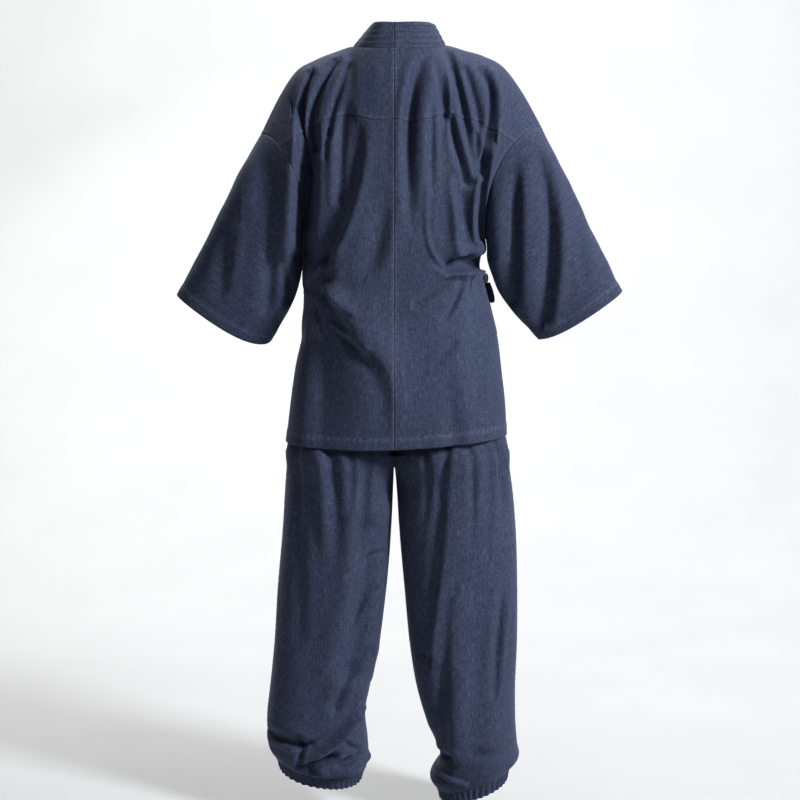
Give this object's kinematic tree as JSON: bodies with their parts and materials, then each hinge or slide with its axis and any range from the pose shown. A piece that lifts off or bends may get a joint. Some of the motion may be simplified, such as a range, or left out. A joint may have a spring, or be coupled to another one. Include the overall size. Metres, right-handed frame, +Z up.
{
  "type": "samue, a two-piece wrapped work jacket and trousers, worn",
  "caption": "Wrapped work jacket with a collar band, side tie and wide sleeves, over loose trousers gathered at the ankles, as hollow cloth in a standing pose.",
  "frame": {"origin": "on the centre line at the height where the shoulders carry the jacket, 1.440 m over the wearer's floor", "axes": "+Z up, -Y the way the wearer faces, +X the wearer's left"},
  "size_m": [0.8528, 0.2665, 1.4986],
  "materials": {
    "denim": "matte indigo denim with an uneven slub",
    "band": "matte indigo denim, doubled and stitched",
    "tie": "matte dark indigo tape"
  },
  "bodies": {
    "root": {"back_left": "denim", "back_right": "denim", "yoke_left": "denim", "yoke_right": "denim", "front_left": "denim", "front_right": "denim", "sleeve_left": "denim", "sleeve_right": "denim", "leg_back_left": "denim", "leg_back_right": "denim", "leg_front_left": "denim", "leg_front_right": "denim", "collar_left": "band", "collar_right": "band", "waistband": "band", "cuff_left": "band", "cuff_right": "band", "tie_knot": "tie", "tie_front": "tie", "tie_side": "tie", "tie_loop_front": "tie", "tie_loop_side": "tie", "tie_tail_front": "tie", "tie_tail_side": "tie"}
  },
  "joints": []
}
